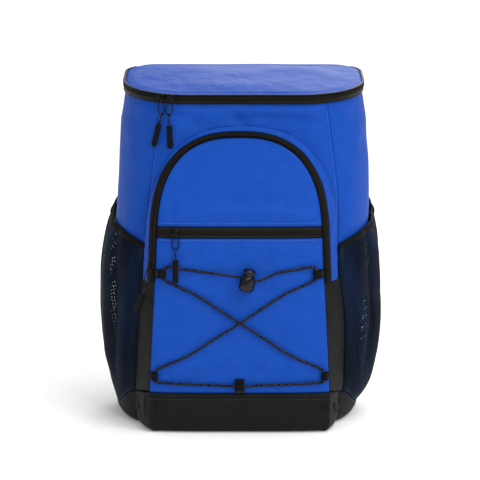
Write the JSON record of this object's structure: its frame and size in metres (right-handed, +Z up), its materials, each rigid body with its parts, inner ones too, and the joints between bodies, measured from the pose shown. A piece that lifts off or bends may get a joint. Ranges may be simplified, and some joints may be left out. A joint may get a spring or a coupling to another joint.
{
  "type": "cooler backpack",
  "caption": "Upright padded backpack with a sloping zipped lid, an arched front pocket laced with an elastic cord, mesh side pockets and shoulder straps.",
  "frame": {"origin": "on the floor under the middle of the bag's box", "axes": "+Z up, the front pocket faces -Y, the straps and the wearer's back are at +Y"},
  "size_m": [0.3526, 0.2858, 0.4195],
  "materials": {
    "blue_fabric": "padded plain weave, satin",
    "black_fabric": "coated plain weave, satin",
    "net": "knitted net, matt",
    "binding": "elastic tape, matt",
    "zip_tape": "woven tape with a nylon coil",
    "webbing": "woven webbing, matt",
    "strap_padding": "spacer mesh over foam, matt",
    "elastic": "braided elastic cord with flecks",
    "zip_metal": "black lacquer, gloss",
    "pull_rubber": "moulded, satin",
    "lock_plastic": "gloss",
    "button_plastic": "satin",
    "buckle_plastic": "satin"
  },
  "bodies": {
    "bag": {"base": "black_fabric", "front_panel": "blue_fabric", "back_panel": "black_fabric", "lid": "blue_fabric", "lid_zip": "zip_tape", "pocket_panel_lower": "blue_fabric", "pocket_panel_upper": "blue_fabric", "front_zip": "zip_tape", "arch_zip": "zip_tape", "gusset_upper": "blue_fabric", "grab_handle": "webbing", "side_panel_left": "blue_fabric", "gusset_lower_left": "black_fabric", "mesh_pocket_left": "net", "pocket_binding_left": "binding", "shoulder_strap_left": "strap_padding", "strap_buckle_left": "buckle_plastic", "strap_webbing_left": "webbing", "side_panel_right": "blue_fabric", "gusset_lower_right": "black_fabric", "mesh_pocket_right": "net", "pocket_binding_right": "binding", "shoulder_strap_right": "strap_padding", "strap_buckle_right": "buckle_plastic", "strap_webbing_right": "webbing", "cord_loop_upper_left": "webbing", "cord_loop_upper_right": "webbing", "cord_loop_lower_left": "webbing", "cord_loop_lower_right": "webbing", "cord_loop_middle": "webbing", "cord_lock_barrel": "lock_plastic", "elastic_cord": "elastic", "lid_left_slider": "zip_metal", "lid_left_ring": "zip_metal", "lid_left_pull": "pull_rubber", "lid_right_slider": "zip_metal", "lid_right_ring": "zip_metal", "lid_right_pull": "pull_rubber", "front_pocket_slider": "zip_metal", "front_pocket_ring": "zip_metal", "front_pocket_pull": "pull_rubber", "arch_slider": "zip_metal", "arch_ring": "zip_metal", "arch_pull": "pull_rubber"},
    "lock_button": {"cord_lock_button": "button_plastic"}
  },
  "joints": [
    {"name": "cord_lock_press", "type": "slide", "parent": "bag", "child": "lock_button", "axis": [-0.1987, 0, -0.9801], "range_m": [0, 0.003], "stiffness_N_per_m": 500, "springref_m": -0.002}
  ]
}
